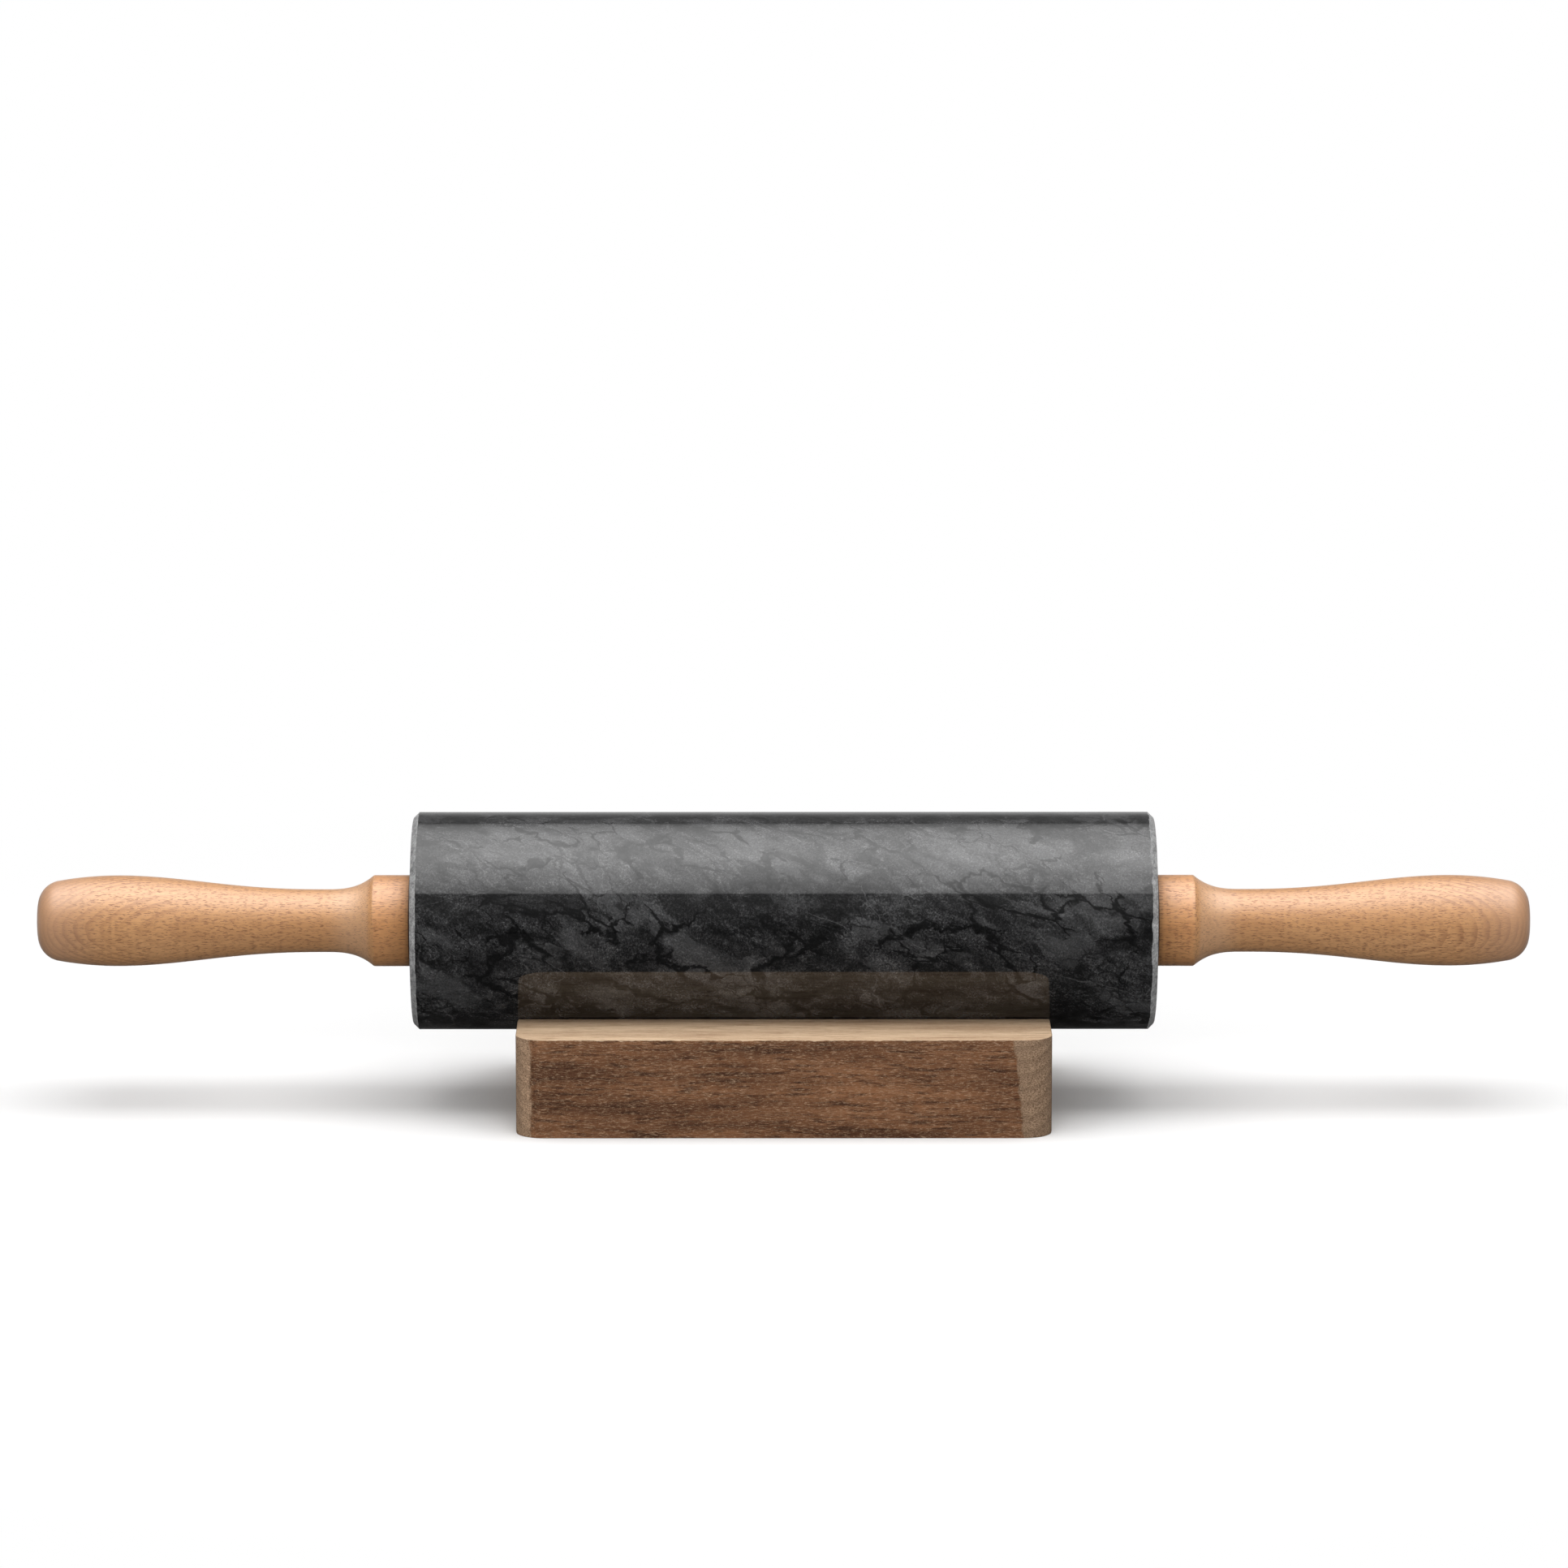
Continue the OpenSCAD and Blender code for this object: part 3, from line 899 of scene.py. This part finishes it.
def make_cradle():
    stations = cradle_stations()
    sections = [cradle_section(x, inset) for x, inset in stations]
    around = len(sections[0])
    verts, faces, slots = [], [], []
    for (x, _), section in zip(stations, sections):
        verts += [(x, y, z) for y, z, _ in section]
    for i in range(len(stations) - 1):
        a, b = i * around, (i + 1) * around
        for k in range(around):
            m = (k + 1) % around
            faces.append([a + k, a + m, b + m, b + k])
            slots.append(sections[i][k][2])
    for ring in (0, len(stations) - 1):
        faces.append([ring * around + k for k in range(around)])
        slots.append(END)
    # The rims and groove take the lit copies of the acacia and the sides the shaded one: painted light and
    # shade.
    surfaces = [MATERIALS[name] for name in ("acacia_rim_lit", "acacia_back_rim_lit", "acacia_groove_lit", "acacia")]
    surfaces.append(make_end_grain())
    new_piece("cradle_block", verts, faces, slots, surfaces, "cradle", "cradle")


# Stage and lights

WORLD_LIGHT = 0.34
FLOOR_DIFFUSE = 0.36
# The floor's shade as the camera sees it, so that only shadows stay under white
FLOOR_SHADE = 0.95
FLOOR_REACH = 8.0
# Distance from the object over which the floor turns to plain white
FLOOR_FADE = (0.22, 0.50)
# The white background as glossy surfaces reflect it: dim in front, brighter behind the object
DIM_FRONT = 0.06
DIM_ABOVE = 0.28
BRIGHT_BACK = 0.50
FLOOR_BACK = 0.42
# Where along Y the floor's reflection turns from dim to bright
FLOOR_TURN = (0.03, 0.20)
# Heights between which the world turns from dim to brighter above
ABOVE_TURN = (0.0, 0.65)
# The world turns bright where Y plus this slope times the height lies between these two
BACK_SLOPE = -1.2
BACK_TURN = (0.3, 0.9)


def by_ray(net, other, seen, reflected):
    """A number: seen for camera and see-through rays, reflected for glossy rays, other for the rest."""
    path = net.nodes.new("ShaderNodeLightPath")
    direct = net.most(path.outputs["Is Camera Ray"], path.outputs["Is Transmission Ray"])
    result = net.band(path.outputs["Is Glossy Ray"], 0, 1, other, reflected, smooth=False)
    return net.band(direct, 0, 1, result, seen, smooth=False)


def make_floor_material():
    """A pale floor that the camera sees as white, apart from the object's shadow."""
    net = surface("floor")
    net.nodes.remove(net.shader)
    behind = net.band(net.axis(net.place, "Y"), *FLOOR_TURN, DIM_FRONT, FLOOR_BACK)
    shade = by_ray(net, FLOOR_DIFFUSE, FLOOR_SHADE, behind)
    grey = net.nodes.new("ShaderNodeCombineColor")
    for socket in grey.inputs:
        net.put(socket, shade)
    matt = net.nodes.new("ShaderNodeBsdfDiffuse")
    net.put(matt.inputs["Color"], grey.outputs[0])
    white = net.nodes.new("ShaderNodeEmission")
    away = net.band(net.vector("LENGTH", net.place), *FLOOR_FADE)
    fade = net.nodes.new("ShaderNodeMixShader")
    net.put(fade.inputs[0], by_ray(net, 0.0, away, 0.0))
    net.put(fade.inputs[1], matt.outputs[0])
    net.put(fade.inputs[2], white.outputs[0])
    net.put(net.nodes["Material Output"].inputs["Surface"], fade.outputs[0])
    return net.owner


def make_world():
    """White for the camera; reflections see it dim in front, brighter above and brightest low behind."""
    net = Net(bpy.data.worlds.new("world"))
    direction = net.where.outputs["Generated"]
    height = net.axis(direction, "Z")
    low_behind = net.math("ADD", net.axis(direction, "Y"), net.times(height, BACK_SLOPE))
    above = net.band(height, *ABOVE_TURN, DIM_FRONT, DIM_ABOVE)
    reflected = net.band(low_behind, *BACK_TURN, above, BRIGHT_BACK)
    background = net.nodes["Background"]
    background.inputs["Color"].default_value = (1, 1, 1, 1)
    net.put(background.inputs["Strength"], by_ray(net, WORLD_LIGHT, 1.0, reflected))
    bpy.context.scene.world = net.owner


def make_floor():
    corners = [(x * FLOOR_REACH, y * FLOOR_REACH, 0) for x, y in ((-1, -1), (1, -1), (1, 1), (-1, 1))]
    mesh = bpy.data.meshes.new("floor")
    mesh.from_pydata(corners, [], [(0, 1, 2, 3)])
    mesh.materials.append(make_floor_material())
    floor = bpy.data.objects.new("floor", mesh)
    bpy.context.scene.collection.objects.link(floor)


def add_area(name, location, aim, size, power, spread=180, diffuse=True, glossy=True):
    data = bpy.data.lights.new(name, "AREA")
    data.shape = "RECTANGLE"
    data.size, data.size_y = size
    data.energy = power
    data.spread = math.radians(spread)
    lamp = place(data, name, location, aim)
    lamp.visible_camera = False
    lamp.visible_diffuse = diffuse
    lamp.visible_glossy = glossy


def make_lights():
    """The soft box makes the reflections, and the two other lamps light the matt surfaces."""
    add_area("softbox", (0, 0.03, 0.88), aim=(0, 0.11, 0), size=(2.2, 1.84), power=15.5, spread=108,
             diffuse=False)
    add_area("overhead", (0, -0.1, 1.4), aim=(0, -0.1, 0), size=(1.6, 1.2), power=18.2, glossy=False)
    add_area("front_fill", (0.0, -1.8, 0.9), aim=(0, 0, 0.06), size=(1.6, 0.8), power=17, glossy=False)


make_camera()
make_world()
make_floor()
make_lights()

MATERIALS = {
    "marble": make_marble(),
    "beech": make_beech(),
    "steel": make_metal("steel", (0.52, 0.52, 0.54), (0.68, 0.68, 0.70), roughness=0.25),
    "brass": make_metal("brass", (0.62, 0.45, 0.18), (0.78, 0.60, 0.28), roughness=0.25),
    "bush_nylon": make_plastic("bush_nylon", (0.028, 0.028, 0.03), (0.05, 0.05, 0.053), roughness=0.5),
    "washer_fibre": make_plastic("washer_fibre", (0.012,) * 3, (0.028, 0.027, 0.026), roughness=0.75),
}
for key, look in ACACIA_LOOKS.items():
    MATERIALS[key] = make_acacia(**look)

for part in frame["record"]["subparts"]:
    node = frame["nodes"][part["node"]]
    node.data.materials.clear()
    node.data.materials.append(MATERIALS[part["material_slot"]])

make_barrel()
make_handle("handle_left", "left_handle", LEFT)
make_handle("handle_right", "right_handle", RIGHT)
make_cradle()

bpy.context.scene.view_settings.view_transform = "Standard"
